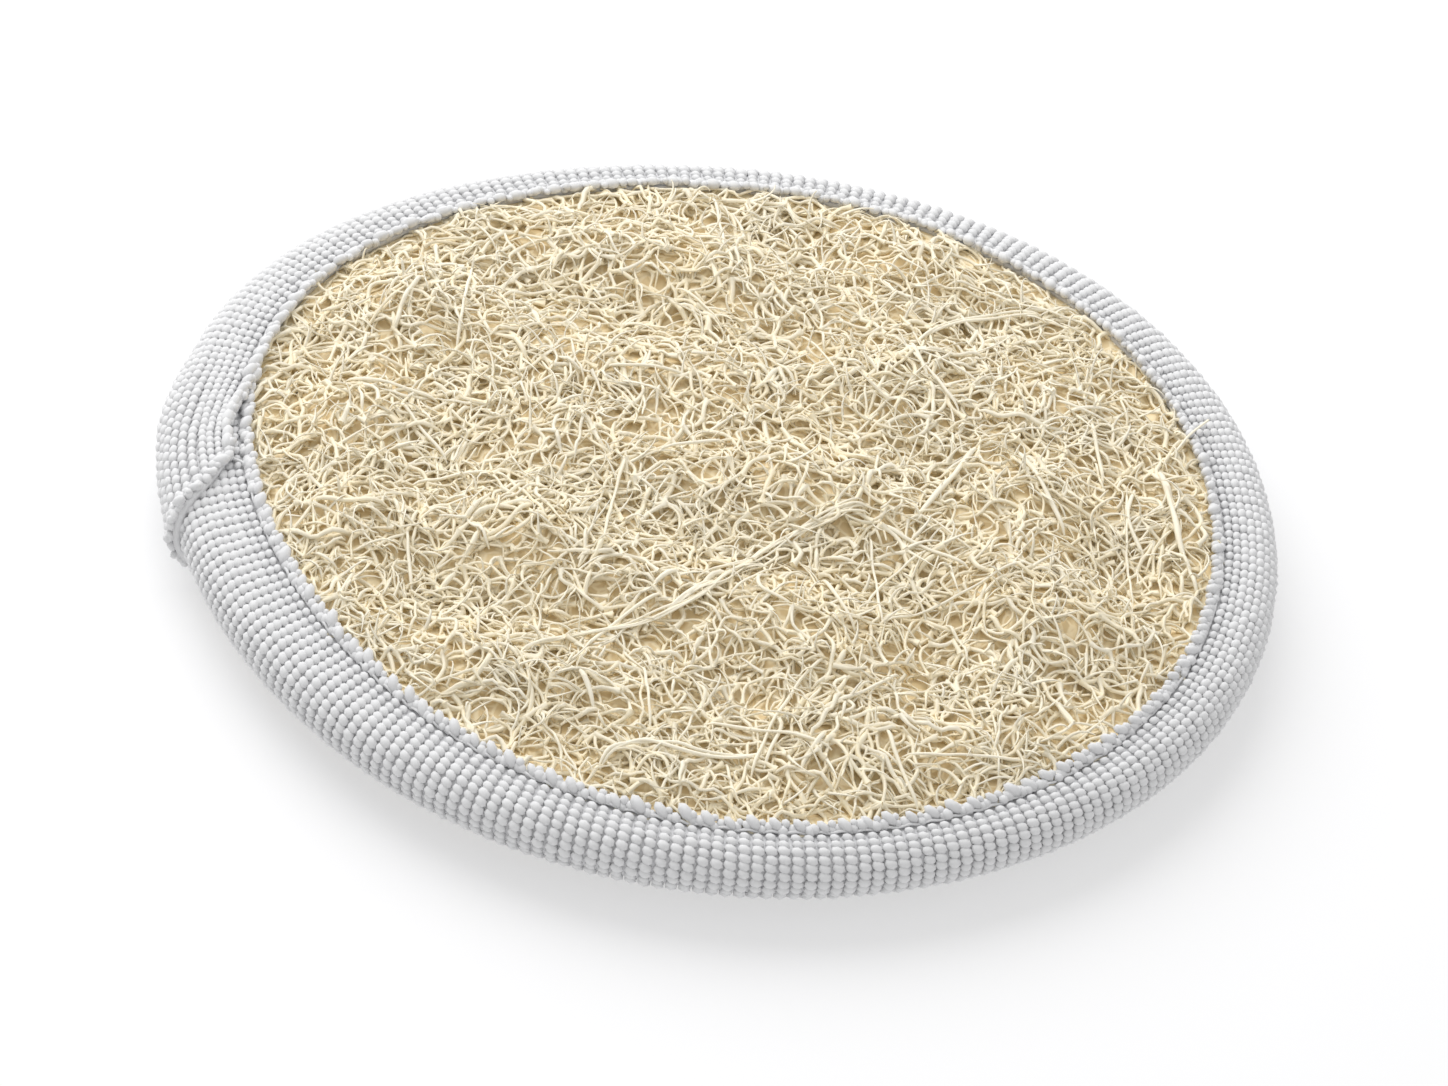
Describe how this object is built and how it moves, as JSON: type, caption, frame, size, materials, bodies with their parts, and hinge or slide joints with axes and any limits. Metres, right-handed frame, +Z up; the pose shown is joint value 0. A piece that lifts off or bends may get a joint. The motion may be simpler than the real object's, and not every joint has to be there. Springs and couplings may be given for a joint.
{
  "type": "loofah scrubbing pad",
  "caption": "Flat oval scrubbing pad of dried loofah fibre net, its cut edge bound all round with a folded white knitted tape sewn down on both faces.",
  "frame": {"origin": "on the surface that the pad lies on, under the middle of the pad's box", "axes": "+X along the oval's long axis, away from the tape's overlap; +Y along the short axis; +Z up, out of the upper face"},
  "size_m": [0.1314, 0.1206, 0.0159],
  "materials": {
    "loofah_fibre": "dry matt plant fibre, cream to straw brown",
    "tape_knit": "white ribbed cotton knit",
    "sewing_thread": "white spun sewing thread"
  },
  "bodies": {
    "root": {"loofah_pad": "loofah_fibre", "binding_tape": "tape_knit", "needle_thread": "sewing_thread", "bobbin_thread": "sewing_thread"}
  },
  "joints": []
}
